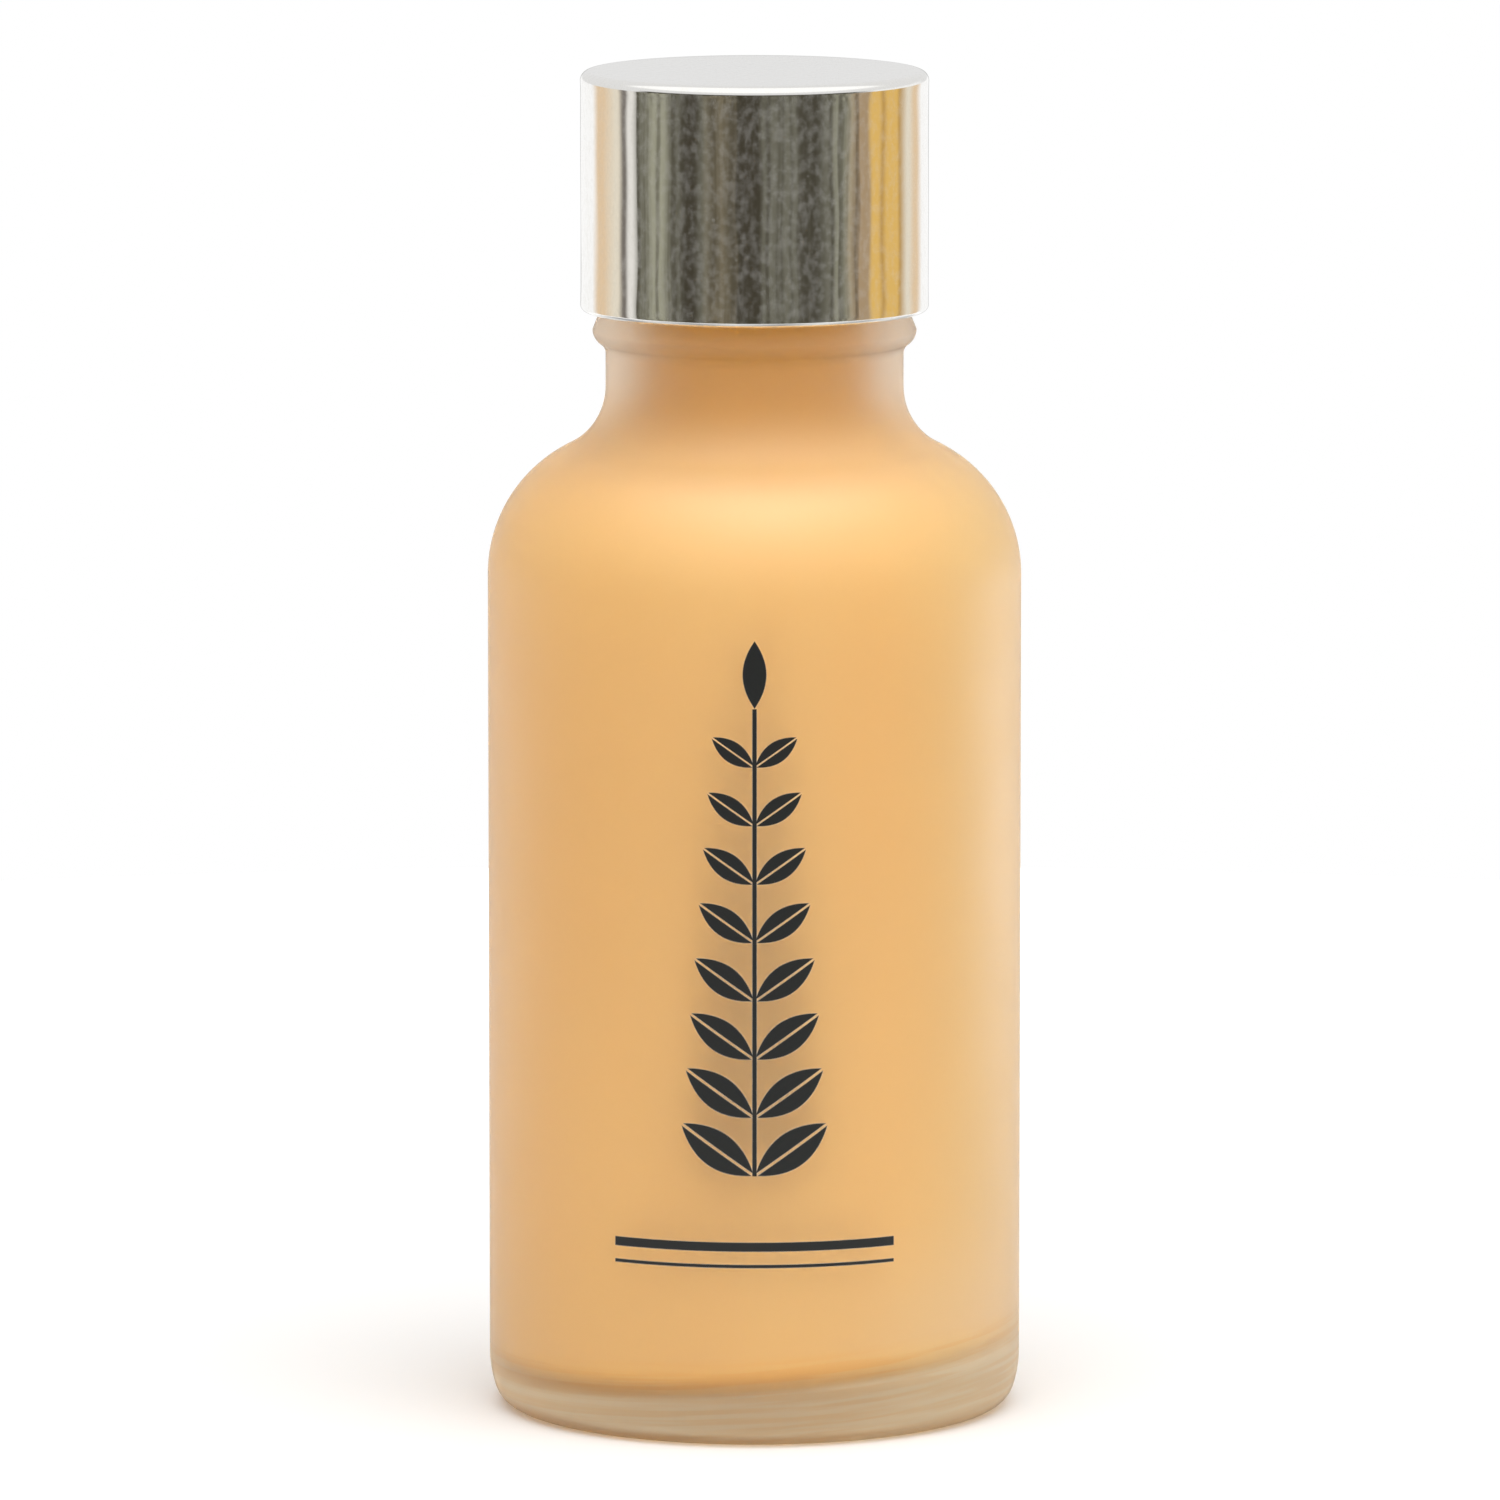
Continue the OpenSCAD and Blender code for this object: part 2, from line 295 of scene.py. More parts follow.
# Sky: white over the front half, with ranges of y and z of a direction in which its parts ease in
CEILING = (1.1, 1.1, 1.09, 1.0)
CEILING_Y = (0.42, 0.2)
CEILING_Z = (0.5, 0.7)
LOW_SKY_Z = (0.28, 0.14)
HORIZON_Z = (0.0, 0.07)

# Plain light behind the object, seen through the glass
THROUGH_LIGHT = (0.92, 0.81, 0.68, 1.0)

# A count of bounces under this is none
NONE_YET = 0.5

# Floor, with the greys that metal mirrors from above in place of its white
FLOOR_R = 220.0
FLOOR_STEPS = 128
FLOOR_TONE = (0.84, 0.84, 0.835, 1.0)
FLOOR_GLOW = 0.06
FLOOR_RIM_GLOW = 0.25
FLOOR_SHEEN = 0.13
FLOOR_CARDS = (
    (-180, 0.60), (-140, 0.68), (-110, 0.26), (-80, 0.62), (-45, 0.30), (-15, 0.55),
    (20, 0.28), (50, 0.64), (85, 0.34), (115, 0.70), (150, 0.40), (180, 0.60))
FLOOR_CARDS_R = (1.5 * BODY_R, 2.0 * BODY_R)
STEEP_RAY = (0.72, 0.5)

# Colour sockets of a Mix node
MIX_A = 6
MIX_B = 7
MIX_RESULT = 2


def arc(x, z, r, start, end, steps=ARC_STEPS):
    """Points (radius, height) on an arc about (x, z), from angle start to angle end in degrees."""
    turns = [math.radians(start + (end - start) * i / steps) for i in range(steps + 1)]
    return [(x + r * math.cos(t), z + r * math.sin(t)) for t in turns]


def line(a, b, steps):
    """Points from a to b, both ends included."""
    return [(a[0] + (b[0] - a[0]) * i / steps, a[1] + (b[1] - a[1]) * i / steps) for i in range(steps + 1)]


def turn_between(outer_x, outer_r, inner_x, inner_r):
    """Angle in degrees at which a round shoulder runs into a hollow fillet."""
    return math.degrees(math.acos((inner_x - outer_x) / (outer_r + inner_r)))


def rings(outline, relief=None):
    """One function per point of an outline, which gives the point's (radius, height) at an angle."""
    if relief is None:
        return [lambda angle, p=p: p for p in outline]
    return [lambda angle, p=p: relief(angle, *p) for p in outline]


def lathe(name, ring_list):
    """A round mesh, one ring of vertices per function. A ring on the axis becomes one vertex, and a ring
    that starts where the one before it did is left out."""
    verts = []
    rows = []
    last = None
    for ring in ring_list:
        if last and math.dist(ring(0.0), last) < SAME_PLACE:
            continue
        last = ring(0.0)
        if last[0] < SAME_PLACE:
            rows.append([len(verts)] * STEPS)
            verts.append((0, 0, last[1] * MM))
            continue
        rows.append(list(range(len(verts), len(verts) + STEPS)))
        for i in range(STEPS):
            angle = 2 * math.pi * i / STEPS
            r, z = ring(angle)
            verts.append((r * math.cos(angle) * MM, r * math.sin(angle) * MM, z * MM))
    faces = []
    for low, high in zip(rows, rows[1:]):
        for i in range(STEPS):
            j = (i + 1) % STEPS
            corners = [low[i], low[j], high[j], high[i]]
            face = list(dict.fromkeys(corners))
            if len(face) > 2:
                faces.append(face)
    mesh = bpy.data.meshes.new(name)
    mesh.from_pydata(verts, [], faces)
    mesh.validate()
    mesh.shade_smooth()
    mesh.set_sharp_from_angle(angle=SHARP_EDGE)
    obj = bpy.data.objects.new(name, mesh)
    bpy.context.collection.objects.link(obj)
    return obj


def glass_outside():
    """Outline of the glass from the middle of its base to the top of the bead."""
    heel_x = BODY_R - HEEL_R
    drop = HEEL_H - FOOT_EDGE_R
    heel_turn = math.degrees(math.asin(drop / (HEEL_R - FOOT_EDGE_R)))
    foot_r = heel_x + (HEEL_R - FOOT_EDGE_R) * math.cos(math.radians(heel_turn))
    dome_w = foot_r - FOOT_RING_W
    dome_r = (dome_w ** 2 + PUSH_UP_H ** 2) / (2 * PUSH_UP_H)
    dome_turn = math.degrees(math.asin(dome_w / dome_r))
    shoulder_x = BODY_R - SHOULDER_R
    fillet_x = NECK_R + NECK_FILLET_R
    neck_turn = turn_between(shoulder_x, SHOULDER_R, fillet_x, NECK_FILLET_R)
    neck_z = BODY_H + (SHOULDER_R + NECK_FILLET_R) * math.sin(math.radians(neck_turn))
    corner_x = BEAD_R - BEAD_CORNER_R
    corner_z = BEAD_Z + BEAD_CORNER_R
    blend_x = NECK_R + BEAD_BLEND_R
    bead_turn = turn_between(corner_x, BEAD_CORNER_R, blend_x, BEAD_BLEND_R)
    blend_z = corner_z - (BEAD_CORNER_R + BEAD_BLEND_R) * math.sin(math.radians(bead_turn))
    lean_x = BEAD_R - BEAD_LEAN - SMALL_EDGE
    return (
        arc(0, PUSH_UP_H - dome_r, dome_r, 90, 90 - dome_turn)
        + arc(foot_r, FOOT_EDGE_R, FOOT_EDGE_R, -90, -heel_turn, steps=6)
        + arc(heel_x, HEEL_H, HEEL_R, -heel_turn, 0)
        + arc(shoulder_x, BODY_H, SHOULDER_R, 0, neck_turn, steps=2 * ARC_STEPS)
        + arc(fillet_x, neck_z, NECK_FILLET_R, 180 + neck_turn, 180)
        + arc(blend_x, blend_z, BEAD_BLEND_R, 180, 180 - bead_turn, steps=8)
        + arc(corner_x, corner_z, BEAD_CORNER_R, -bead_turn, 0, steps=12)
        + arc(lean_x, BEAD_TOP_Z - SMALL_EDGE, SMALL_EDGE, 0, 90, steps=6)
    )


def glass_core():
    """Outline of the neck's core, in fine rows that carry the thread."""
    rows = round((RIM_Z - SMALL_EDGE - BEAD_TOP_Z) / THREAD_ROW)
    return line((CORE_R, BEAD_TOP_Z), (CORE_R, RIM_Z - SMALL_EDGE), rows)


def thread_relief(angle, r, z):
    """Stands the neck's core out where the thread runs, with round flanks and faded ends."""
    sweep = 2 * math.pi * THREAD_TURNS
    stand = 0.0
    along = angle
    while along <= sweep:
        off = abs(z - THREAD_Z - THREAD_PITCH * along / (2 * math.pi))
        flank = (THREAD_ROOT_W / 2 - off) / ((THREAD_ROOT_W - THREAD_CREST_W) / 2)
        rise = min(1.0, max(0.0, flank))
        fade = min(1.0, along / THREAD_FADE, (sweep - along) / THREAD_FADE)
        stand = max(stand, THREAD_H * fade * rise * rise * (3 - 2 * rise))
        along += 2 * math.pi
    return r + stand, z


def cavity(top, gap):
    """Outline of the cavity from its top down to the middle of its floor, drawn in by gap."""
    shoulder_x = BODY_R - SHOULDER_R
    shoulder_r = SHOULDER_R - WALL_T
    wall_r = BODY_R - WALL_T
    fillet_x = BORE_R + BORE_FILLET_R
    bore_turn = turn_between(shoulder_x, shoulder_r, fillet_x, BORE_FILLET_R)
    bore_z = BODY_H + (shoulder_r + BORE_FILLET_R) * math.sin(math.radians(bore_turn))
    corner_x = wall_r - CAVITY_CORNER_R
    corner_z = CAVITY_FLOOR_Z + CAVITY_CORNER_R
    floor_z = CAVITY_FLOOR_Z + gap
    return (
        [(BORE_R - gap, top)]
        + arc(fillet_x, bore_z, BORE_FILLET_R + gap, 180, 180 + bore_turn)
        + arc(shoulder_x, BODY_H, shoulder_r - gap, bore_turn, 0)
        + line((wall_r - gap, BODY_H), (wall_r - gap, corner_z), steps=24)[1:-1]
        + arc(corner_x, corner_z, CAVITY_CORNER_R - gap, 0, -90)
        + line((corner_x, floor_z), (0, floor_z), steps=6)[1:]
    )


def floor_relief(angle, r, z):
    """Tips the cavity's floor to one side, as pressed glass often has it."""
    share = max(0.0, 1 - (z - CAVITY_FLOOR_Z) / SLOPE_FADE_H)
    return r, z + r * math.cos(angle) * FLOOR_SLOPE * share * share


def make_glass():
    """Frosted bottle: outside, threaded neck, rim, bore and cavity in one closed skin."""
    rim = arc(CORE_R - SMALL_EDGE, RIM_Z - SMALL_EDGE, SMALL_EDGE, 0, 90, steps=5)
    mouth = arc(BORE_R + SMALL_EDGE, RIM_Z - SMALL_EDGE, SMALL_EDGE, 90, 180, steps=5)
    ring_list = (
        rings(glass_outside())
        + rings(glass_core(), thread_relief)
        + rings(rim + mouth)
        + rings(cavity(RIM_Z - 2 * SMALL_EDGE, 0), floor_relief)
    )
    return lathe("bottle_glass", ring_list)


def make_liquid():
    """Foundation: fills the cavity up into the neck, with its skin against the glass."""
    surface = [(0, FILL_TOP_Z), (CLIMB_R, FILL_TOP_Z), (BORE_R + WET, FILL_TOP_Z + CLIMB_H)]
    walls = cavity(FILL_TOP_Z - SMALL_EDGE, -WET)
    return lathe("foundation_liquid", rings(surface + walls, floor_relief))


def shell_relief(angle, r, z):
    """The faint waves of drawn metal, which fade out at both ends of the wall."""
    ends = min(1.0, (z - SHELL_Z) / WAVE_FADE_H, (CAP_TOP_Z - z) / WAVE_FADE_H)
    place = Vector((WAVES_ROUND * math.cos(angle), WAVES_ROUND * math.sin(angle), z * WAVES_UP))
    return r - WAVE_H * max(0.0, ends) * (0.5 + 0.5 * noise.noise(place)), z


def make_shell():
    """Bright shell: flat top, small round edge, straight wall and a rolled lip, with its inside."""
    edge_x = SHELL_R - SHELL_EDGE_R
    edge_z = CAP_TOP_Z - SHELL_EDGE_R
    inside_r = SHELL_R - SHELL_T
    inside_z = CAP_TOP_Z - SHELL_T
    inner_edge_r = SHELL_EDGE_R - SHELL_T
    tuck = SHELL_T - LIP_R
    top = line((0, CAP_TOP_Z), (edge_x, CAP_TOP_Z), steps=8)[:-1]
    edge = arc(edge_x, edge_z, SHELL_EDGE_R, 90, 0, steps=12)
    wall = line((SHELL_R, edge_z), (SHELL_R, SHELL_Z + LIP_R), steps=60)[1:-1]
    lip = arc(SHELL_R - LIP_R, SHELL_Z + LIP_R, LIP_R, 0, -90, steps=10)
    tuck_in = arc(inside_r + tuck, SHELL_Z + tuck, tuck, -90, -180, steps=4)
    inner = arc(inside_r - inner_edge_r, inside_z - inner_edge_r, inner_edge_r, 0, 90, steps=6)
    ring_list = (
        rings(top + edge)
        + rings(wall, shell_relief)
        + rings(lip + tuck_in + inner + [(0, inside_z)])
    )
    return lathe("cap_metal_shell", ring_list)


class Nodes:
    """Adds nodes to a material or world and links them by socket."""

    def __init__(self, tree):
        self.tree = tree
        tree.nodes.clear()

    def add(self, kind, **settings):
        node = self.tree.nodes.new(kind)
        for key, value in settings.items():
            setattr(node, key, value)
        return node

    def put(self, node, key, value):
        """Links a socket to an input, or sets the input's own value."""
        if isinstance(value, bpy.types.NodeSocket):
            self.tree.links.new(value, node.inputs[key])
        else:
            node.inputs[key].default_value = value

    def math(self, operation, *values):
        node = self.add("ShaderNodeMath", operation=operation)
        for index, value in enumerate(values):
            self.put(node, index, value)
        return node.outputs[0]

    def times(self, a, b):
        return self.math("MULTIPLY", a, b)

    def within(self, value, middle, reach):
        """1 where a value lies within reach of middle."""
        return self.math("COMPARE", value, middle, reach)

    def blend(self, factor, a, b):
        """Colour a where the factor is 0, and b where it is 1."""
        node = self.add("ShaderNodeMix", data_type="RGBA")
        self.put(node, 0, factor)
        self.put(node, MIX_A, a)
        self.put(node, MIX_B, b)
        return node.outputs[MIX_RESULT]

    def ease(self, value, low, high, to_low=0.0, to_high=1.0):
        """Carries a value from the range low to high over to another range, with soft ends."""
        node = self.add("ShaderNodeMapRange", interpolation_type="SMOOTHSTEP")
        for index, item in enumerate((value, low, high, to_low, to_high)):
            self.put(node, index, item)
        return node.outputs[0]

    def ramp(self, turn, stops):
        """Colours or greys along a full turn, where each stop has its bearing in degrees."""
        node = self.add("ShaderNodeValToRGB")
        elements = node.color_ramp.elements
        for _ in stops[2:]:
            elements.new(0.5)
        for element, (degrees, tone) in zip(elements, stops):
            element.position = 0.5 + degrees / 360
            element.color = grey(tone) if isinstance(tone, float) else tone
        self.put(node, 0, turn)
        return node.outputs[0]

    def stretch(self, place, x, y, z):
        node = self.add("ShaderNodeVectorMath", operation="MULTIPLY")
        self.put(node, 0, place)
        self.put(node, 1, (x, y, z))
        return node.outputs[0]

    def in_mm(self, place):
        return self.stretch(place, 1 / MM, 1 / MM, 1 / MM)

    def split(self, vector):
        node = self.add("ShaderNodeSeparateXYZ")
        self.put(node, 0, vector)
        return node.outputs

    def join(self, x, y):
        node = self.add("ShaderNodeCombineXYZ")
        self.put(node, 0, x)
        self.put(node, 1, y)
        return node.outputs[0]

    def dot(self, vector, direction):
        node = self.add("ShaderNodeVectorMath", operation="DOT_PRODUCT")
        self.put(node, 0, vector)
        self.put(node, 1, direction)
        return node.outputs["Value"]

    def length(self, vector):
        node = self.add("ShaderNodeVectorMath", operation="LENGTH")
        self.put(node, 0, vector)
        return node.outputs["Value"]

    def bearing(self, x, y):
        """Angle about the upright axis, from the front."""
        return self.math("ARCTAN2", x, self.times(y, -1.0))

    def turn(self, bearing):
        """A bearing as its share of a full turn, with the front at 0.5."""
        return self.math("ADD", self.math("DIVIDE", bearing, 2 * math.pi), 0.5)

    def noise(self, place, scale, detail=2.0):
        node = self.add("ShaderNodeTexNoise")
        self.put(node, "Vector", place)
        self.put(node, "Scale", scale)
        self.put(node, "Detail", detail)
        return node.outputs[0]

    def cells(self, place, scale):
        node = self.add("ShaderNodeTexVoronoi")
        self.put(node, "Vector", place)
        self.put(node, "Scale", scale)
        return node.outputs

    def specks(self, place, scale, radius, share):
        """Small round spots, in a share of the cells of a random pattern."""
        cells = self.cells(place, scale)
        spot = self.ease(cells["Distance"], radius, radius / 2)
        pick = self.add("ShaderNodeSeparateColor")
        self.put(pick, 0, cells["Color"])
        return self.times(spot, self.math("LESS_THAN", pick.outputs[0], share))

    def bump(self, height, strength, distance):
        """Normal from a height, with the distance in millimetres."""
        node = self.add("ShaderNodeBump")
        self.put(node, "Height", height)
        self.put(node, "Strength", strength)
        self.put(node, "Distance", distance * MM)
        return node.outputs[0]


def grey(value):
    return (value, value, value, 1.0)


def material(name, constants):
    """A material with one Principled shader, its node helper and the place on the object."""
    mat = bpy.data.materials.new(name)
    mat.use_nodes = True
    nodes = Nodes(mat.node_tree)
    shader = nodes.add("ShaderNodeBsdfPrincipled")
    for key, value in constants.items():
        nodes.put(shader, key, value)
    out = nodes.add("ShaderNodeOutputMaterial")
    nodes.put(out, "Surface", shader.outputs[0])
    place = nodes.add("ShaderNodeTexCoord").outputs["Object"]
    return mat, nodes, shader, place


def leaf_shape(nodes, along, across):
    """1 inside a leaf, where along runs from 0 at its root to 1 at its tip, and across from 0 at its vein
    to 1 at its widest."""
    swell = nodes.times(nodes.times(along, nodes.math("SUBTRACT", 1.0, along)), 4.0)
    return nodes.ease(nodes.math("SUBTRACT", swell, across), 0.0, INK_EDGE)


def rule_shape(nodes, side, z, rule_z, half_w):
    """1 inside a level line."""
    off = nodes.math("ABSOLUTE", nodes.math("SUBTRACT", z, rule_z))
    thick = nodes.ease(off, half_w, half_w - INK_EDGE)
    return nodes.times(thick, nodes.ease(side, RULE_HALF_LEN, RULE_HALF_LEN - INK_EDGE))


def printed_sprig(nodes, place):
    """1 where ink lies on the outside of the wall: leaves on a stem, a leaf at its tip, and rules."""
    x, y, z = nodes.split(nodes.in_mm(place))
    side = nodes.math("ABSOLUTE", nodes.times(nodes.bearing(x, y), BODY_R))
    climb = nodes.math("DIVIDE", nodes.math("SUBTRACT", z, SPRIG_Z), LEAF_STEP)
    pair = nodes.math("FLOOR", climb)
    rise = nodes.times(nodes.math("SUBTRACT", climb, pair), LEAF_STEP)
    size = nodes.math("SUBTRACT", 1.0, nodes.times(pair, LEAF_TAPER))
    spot = nodes.join(side, rise)
    lean = math.sin(LEAF_TILT)
    stand = math.cos(LEAF_TILT)
    along = nodes.math("DIVIDE", nodes.dot(spot, (lean / LEAF_LEN, stand / LEAF_LEN, 0)), size)
    across = nodes.dot(spot, (stand / LEAF_HALF_W, -lean / LEAF_HALF_W, 0))
    across = nodes.math("ABSOLUTE", nodes.math("DIVIDE", across, size))
    leaves = nodes.times(leaf_shape(nodes, along, across), nodes.ease(across, *LEAF_VEIN))
    stem = nodes.ease(side, STEM_HALF_W, STEM_HALF_W - INK_EDGE)
    on_stem = nodes.within(climb, LEAF_PAIRS / 2, LEAF_PAIRS / 2)
    ink = nodes.times(nodes.math("MAXIMUM", leaves, stem), on_stem)
    tip_z = SPRIG_Z + LEAF_PAIRS * LEAF_STEP
    tip_along = nodes.math("DIVIDE", nodes.math("SUBTRACT", z, tip_z), TIP_LEN)
    tip = leaf_shape(nodes, tip_along, nodes.math("DIVIDE", side, TIP_HALF_W))
    ink = nodes.math("MAXIMUM", ink, tip)
    for rule_z, half_w in RULES:
        ink = nodes.math("MAXIMUM", ink, rule_shape(nodes, side, z, rule_z, half_w))
    from_axis = nodes.length(nodes.join(x, y))
    return nodes.times(ink, nodes.math("GREATER_THAN", from_axis, BODY_R - WALL_T / 2))


def glass_tint_and_painted_light(nodes, place):
    """Clear glass, over a thick base painted with light: warm as a painted reflection of the liquid, with
    pale painted streaks for its refraction lines, painted paler ends and painted shade that darkens its
    foot.
    """
    spot = nodes.in_mm(place)
    x, _, height = nodes.split(spot)
    # Pale streaks of painted light, for the refraction lines in the thick base
    light_line_place = nodes.join(nodes.dot(place, LIGHT_LINE_RUN), nodes.dot(place, TIPPED_UP))
    streak = nodes.ease(nodes.noise(light_line_place, LIGHT_LINE_SCALE, detail=3.0), *LIGHT_LINE_RANGE, 0.0, LIGHT_LINE_SHARE)
    # Painted light: paler towards both ends of the base
    at_end = nodes.ease(nodes.math("ABSOLUTE", x), *BASE_END_X)
    pale = nodes.math("ADD", streak, nodes.times(at_end, BASE_END_SHARE))
    base = nodes.blend(pale, GLASS_PAINTED_WARM, GLASS_PAINTED_PALE)
    # Painted shade: the foot darker near the floor, towards both ends
    foot = nodes.times(at_end, nodes.ease(height, *FOOT_SHADE_Z))
    base = nodes.blend(foot, base, GLASS_FOOT_SHADE)
    # Below the base's top, the glass turns warm with the painted reflection of the liquid
    return nodes.blend(nodes.ease(nodes.dot(spot, TIPPED_UP), *BASE_Z), GLASS_CLEAR, base)


def frosted_glass():
    """Acid-etched glass: a fine even grain, rougher towards the neck, with a dark print on its front."""
    mat, nodes, shader, place = material("frosted_glass", {"IOR": GLASS_IOR})
    ink = printed_sprig(nodes, place)
    nodes.put(shader, "Base Color", nodes.blend(ink, glass_tint_and_painted_light(nodes, place), INK))
    nodes.put(shader, "Transmission Weight", nodes.ease(ink, 0.0, 1.0, GLASS_SHARE, 0.0))
    grain = nodes.noise(place, FROST_SCALE, detail=3.0)
    cloud = nodes.ease(nodes.noise(place, CLOUD_SCALE), *MIDDLE, *CLOUD_ROUGH)
    height = nodes.split(nodes.in_mm(place))[2]
    etched = nodes.ease(height, *NECK_FROST_Z, 0.0, NECK_FROST_ROUGH)
    rough = nodes.math("ADD", nodes.math("ADD", cloud, etched), nodes.times(grain, FROST_ROUGH))
    nodes.put(shader, "Roughness", rough)
    nodes.put(shader, "Normal", nodes.bump(grain, *FROST_BUMP))
    return mat


def foundation_cream():
    """Thick tan liquid with faint pigment swirls, with painted shade in the neck and as a dark line along
    its lower edge, and a painted sheen on its right side and low on the right.
    """
    constants = {"Roughness": CREAM_ROUGH, "Specular IOR Level": 0.0}
    mat, nodes, shader, place = material("foundation_cream", constants)
    spot = nodes.in_mm(place)
    x, _, height = nodes.split(spot)
    above = nodes.math("SUBTRACT", nodes.dot(spot, TIPPED_UP), CAVITY_FLOOR_Z)
    swirl = nodes.noise(nodes.stretch(place, 1.0, 1.0, SWIRL_STRETCH), SWIRL_SCALE, detail=4.0)
    cream = nodes.blend(nodes.ease(swirl, *MIDDLE), CREAM_DEEP, CREAM_PALE)
    # Painted shade in the neck, under the cap
    cream = nodes.blend(nodes.ease(height, *CREAM_NECK_SHADE_Z), cream, CREAM_NECK_SHADE)
    # Painted sheen: paler towards the right side, where the light falls
    cream = nodes.blend(nodes.ease(x, *CREAM_SIDE_SHEEN_X), cream, CREAM_SIDE_SHEEN)
    # Painted sheen: paler low down on the right
    low = nodes.times(nodes.ease(x, *CREAM_LOW_SHEEN_X), nodes.ease(above, *CREAM_LOW_SHEEN_H))
    cream = nodes.blend(low, cream, CREAM_LOW_SHEEN)
    # Painted shade: a dark line along the bottom corner of the liquid, fainter towards the right
    edge = nodes.times(nodes.ease(above, *EDGE_START_H), nodes.ease(above, *EDGE_END_H))
    edge = nodes.times(edge, nodes.ease(x, *EDGE_FADE_X, 1.0, EDGE_FADE_SHARE))
    nodes.put(shader, "Base Color", nodes.blend(edge, cream, CREAM_EDGE_SHADE))
    return mat


def bright_metal():
    """Polished metal with fine rub marks and a little dust."""
    mat, nodes, shader, place = material("bright_metal", {})
    haze = nodes.noise(nodes.stretch(place, 1.0, 1.0, HAZE_STRETCH), HAZE_SCALE, detail=6.0)
    haze = nodes.ease(haze, *HAZE_RANGE, 0.0, HAZE_SHARE)
    fine = nodes.times(nodes.specks(place, *FINE_SPECKS), FINE_SHARE)
    large = nodes.times(nodes.specks(place, *LARGE_SPECKS), LARGE_SHARE)
    dust = nodes.math("MAXIMUM", haze, nodes.math("MAXIMUM", fine, large))
    nodes.put(shader, "Base Color", nodes.blend(dust, METAL, DUST))
    nodes.put(shader, "Metallic", nodes.math("SUBTRACT", 1.0, dust))
    rub = nodes.noise(nodes.stretch(place, 1.0, 1.0, RUB_STRETCH), RUB_SCALE, detail=3.0)
    rough = nodes.ease(rub, *RUB_RANGE, *RUB_ROUGH)
    nodes.put(shader, "Roughness", nodes.math("ADD", rough, nodes.times(dust, DUST_ROUGH)))
    return mat


def moulded_plastic(name, tone, shade):
    """Moulded plastic with a fine satin grain and a faint flow mottle."""
    mat, nodes, shader, place = material(name, {})
    flow = nodes.noise(nodes.stretch(place, 1.0, 1.0, FLOW_STRETCH), FLOW_SCALE, detail=3.0)
    grain = nodes.noise(place, MOULD_SCALE)
    nodes.put(shader, "Base Color", nodes.blend(nodes.ease(flow, *MIDDLE), tone, shade))
    nodes.put(shader, "Roughness", nodes.ease(grain, *MIDDLE, *MOULD_ROUGH))
    nodes.put(shader, "Normal", nodes.bump(grain, *MOULD_BUMP))
    return mat


def liner_foam():
    """Closed-cell foam, with its small bubbles pressed flat and painted shade in their pits."""
    mat, nodes, shader, place = material("liner_foam", {"Roughness": FOAM_ROUGH})
    cells = nodes.cells(nodes.stretch(place, 1.0, 1.0, FOAM_STRETCH), FOAM_SCALE)
    bubble = nodes.ease(cells["Distance"], *FOAM_CELL)
    # Painted shade: darker where the bump is low, in the bubbles' pits
    nodes.put(shader, "Base Color", nodes.blend(bubble, FOAM_PIT_SHADE, FOAM_HIGH))
    nodes.put(shader, "Normal", nodes.bump(bubble, *FOAM_BUMP))
    return mat


def white_table():
    """White matt table top. It glows a little, so that it meets the white behind it and shows in glass.
    Metal that mirrors it steeply, beyond the foot, shows a ring of greys instead."""
    mat = bpy.data.materials.new("white_table")
    mat.use_nodes = True
    nodes = Nodes(mat.node_tree)
    path = nodes.add("ShaderNodeLightPath").outputs
    place = nodes.in_mm(nodes.add("ShaderNodeTexCoord").outputs["Object"])
    x, y, _ = nodes.split(place)
    away = nodes.length(place)

    slant = nodes.add("ShaderNodeLayerWeight").outputs["Facing"]
    where = nodes.times(nodes.ease(slant, *STEEP_RAY), nodes.ease(away, *FLOOR_CARDS_R))
    mirrored = nodes.math("LESS_THAN", path["Transmission Depth"], NONE_YET)
    mirrored = nodes.times(nodes.times(path["Is Glossy Ray"], mirrored), where)
    cards = nodes.ramp(nodes.turn(nodes.bearing(x, y)), FLOOR_CARDS)
    matt = nodes.add("ShaderNodeBsdfDiffuse")
    nodes.put(matt, "Color", nodes.blend(mirrored, FLOOR_TONE, cards))

    glow_here = nodes.ease(away, FLOOR_R / 2, FLOOR_R, FLOOR_GLOW, FLOOR_RIM_GLOW)
    to_camera = nodes.times(path["Is Camera Ray"], glow_here)
    sheen = nodes.ease(mirrored, 0.0, 1.0, FLOOR_SHEEN, 0.0)
    to_glass = nodes.times(path["Is Glossy Ray"], sheen)
    glow = nodes.add("ShaderNodeEmission")
    nodes.put(glow, "Strength", nodes.math("ADD", to_camera, to_glass))

    both = nodes.add("ShaderNodeAddShader")
    nodes.put(both, 0, matt.outputs[0])
    nodes.put(both, 1, glow.outputs[0])
    out = nodes.add("ShaderNodeOutputMaterial")
    nodes.put(out, "Surface", both.outputs[0])
    return mat


def soft_light(nodes, direction, turn):
    """Even light on the object, with a broad key overhead."""
    near_key = nodes.ease(nodes.dot(direction, KEY_PLACE), *KEY_EDGE)
    return nodes.blend(near_key, nodes.ramp(turn, SOFT_LIGHT), grey(KEY_LIGHT))


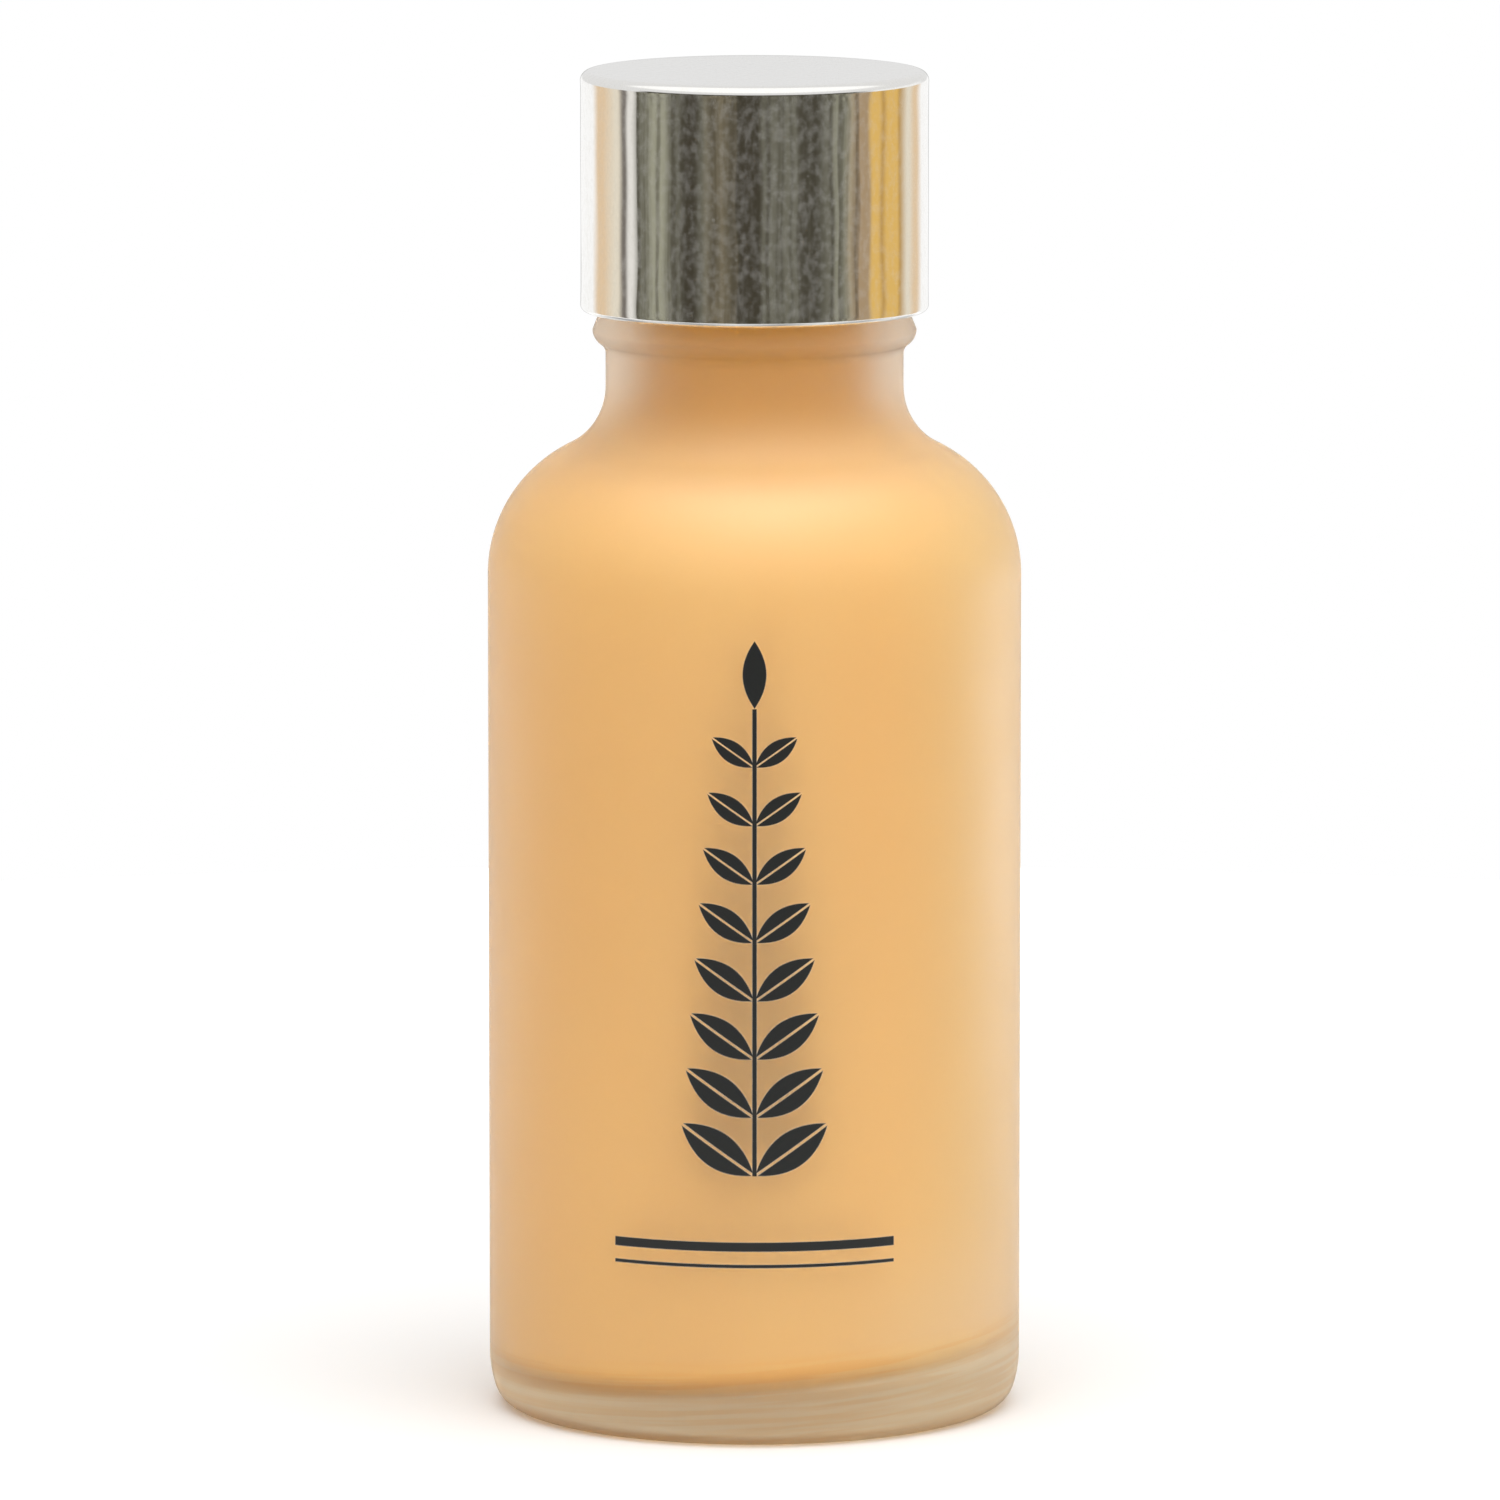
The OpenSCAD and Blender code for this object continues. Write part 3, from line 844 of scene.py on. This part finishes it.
def card_light(nodes, bearing, turn, z):
    """Cards all round: a dim streaky room in front, and pale and coloured cards beside and behind."""
    spread = nodes.join(nodes.times(turn, STREAKS_ROUND), nodes.times(z, STREAKS_UP))
    streak = nodes.ease(nodes.noise(spread, 1.0, detail=4.0), *STREAK_RANGE, 0.0, STREAK_SHARE)
    room = nodes.blend(streak, nodes.ramp(turn, FRONT_CARDS), BLACK)
    in_front = nodes.within(bearing, FRONT_MIDDLE, FRONT_HALF)
    return nodes.blend(in_front, nodes.ramp(turn, SIDE_CARDS), room)


def sky_light(nodes, mirrored, turn, y, z):
    """Grey sky, white over the front half, with cards low down for what mirrors it."""
    overhead = nodes.times(nodes.ease(y, *CEILING_Y), nodes.ease(z, *CEILING_Z))
    low_sky = nodes.times(mirrored, nodes.ease(z, *LOW_SKY_Z))
    return nodes.blend(low_sky, nodes.blend(overhead, BACK, CEILING), nodes.ramp(turn, UPPER_CARDS))


def make_world():
    """Soft studio: even light, white to the camera, with dark and coloured cards for mirrors."""
    world = bpy.data.worlds.new("studio")
    world.use_nodes = True
    bpy.context.scene.world = world
    nodes = Nodes(world.node_tree)
    path = nodes.add("ShaderNodeLightPath").outputs
    direction = nodes.add("ShaderNodeTexCoord").outputs["Generated"]
    x, y, z = nodes.split(direction)
    bearing = nodes.bearing(x, y)
    turn = nodes.turn(bearing)

    mirrored = nodes.math("LESS_THAN", path["Transmission Depth"], NONE_YET)
    around = nodes.blend(mirrored, THROUGH_LIGHT, card_light(nodes, bearing, turn, z))
    sky = sky_light(nodes, mirrored, turn, y, z)
    mirror = nodes.blend(nodes.ease(z, *HORIZON_Z), around, sky)

    fresh = nodes.math("LESS_THAN", path["Diffuse Depth"], NONE_YET)
    glossy = nodes.times(path["Is Glossy Ray"], fresh)
    seen = nodes.blend(glossy, soft_light(nodes, direction, turn), mirror)
    seen = nodes.blend(path["Is Camera Ray"], seen, WHITE)
    back = nodes.add("ShaderNodeBackground")
    nodes.put(back, "Color", seen)
    out = nodes.add("ShaderNodeOutputWorld")
    nodes.put(out, "Surface", back.outputs[0])


def make_floor():
    """Round white table top under the object."""
    bpy.ops.mesh.primitive_circle_add(vertices=FLOOR_STEPS, radius=FLOOR_R * MM, fill_type="NGON")
    floor = bpy.context.object
    floor.name = "floor"
    floor.data.materials.append(white_table())


def make_soft_box(name, box, lit):
    """Soft box that gives gloss, and no other light, to the objects of the collection lit."""
    place, aim, width, height, glare = box
    data = bpy.data.lights.new(name, "AREA")
    data.shape = "RECTANGLE"
    data.size = width * MM
    data.size_y = height * MM
    data.energy = glare * math.pi * data.size * data.size_y
    lamp = bpy.data.objects.new(name, data)
    bpy.context.collection.objects.link(lamp)
    lamp.location = Vector(place) * MM
    lamp.rotation_euler = (Vector(aim) - Vector(place)).to_track_quat("-Z", "Y").to_euler()
    lamp.visible_camera = False
    lamp.visible_diffuse = False
    lamp.visible_transmission = False
    lamp.light_linking.receiver_collection = lit


def make_camera():
    """Long lens a little above the bottle, as far off as the photograph's perspective shows."""
    data = bpy.data.cameras.new("camera")
    data.lens = CAMERA_LENS
    data.sensor_width = CAMERA_SENSOR
    camera = bpy.data.objects.new("camera", data)
    bpy.context.collection.objects.link(camera)
    camera.location = Vector(CAMERA_PLACE) * MM
    look = Vector(CAMERA_TARGET) * MM - camera.location
    camera.rotation_euler = look.to_track_quat("-Z", "Y").to_euler()
    bpy.context.scene.camera = camera


def dress(obj, body, node, mat):
    """Puts a new piece in place of a CAD node, on its body and with its finish."""
    obj.data.materials.append(mat)
    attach(obj, body)
    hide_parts(node)


def repaint(node, mat):
    """Gives a CAD node a better finish."""
    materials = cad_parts[node].data.materials
    materials.clear()
    materials.append(mat)


make_camera()
make_world()
make_floor()

glass = make_glass()
dress(glass, "bottle", "glass_bottle", frosted_glass())
dress(make_liquid(), "bottle", "foundation_fill", foundation_cream())
dress(make_shell(), "cap", "cap_shell", bright_metal())
repaint("pouring_plug", moulded_plastic("plug_plastic", PLUG_TONE, PLUG_SHADE))
repaint("inner_cap", moulded_plastic("cap_plastic", CAP_TONE, CAP_SHADE))
repaint("cap_liner", liner_foam())

glossed = bpy.data.collections.new("glossed")
glossed.objects.link(glass)
for box_name, soft_box in SOFT_BOXES.items():
    make_soft_box(box_name, soft_box, glossed)

bpy.context.scene.view_settings.view_transform = "Standard"
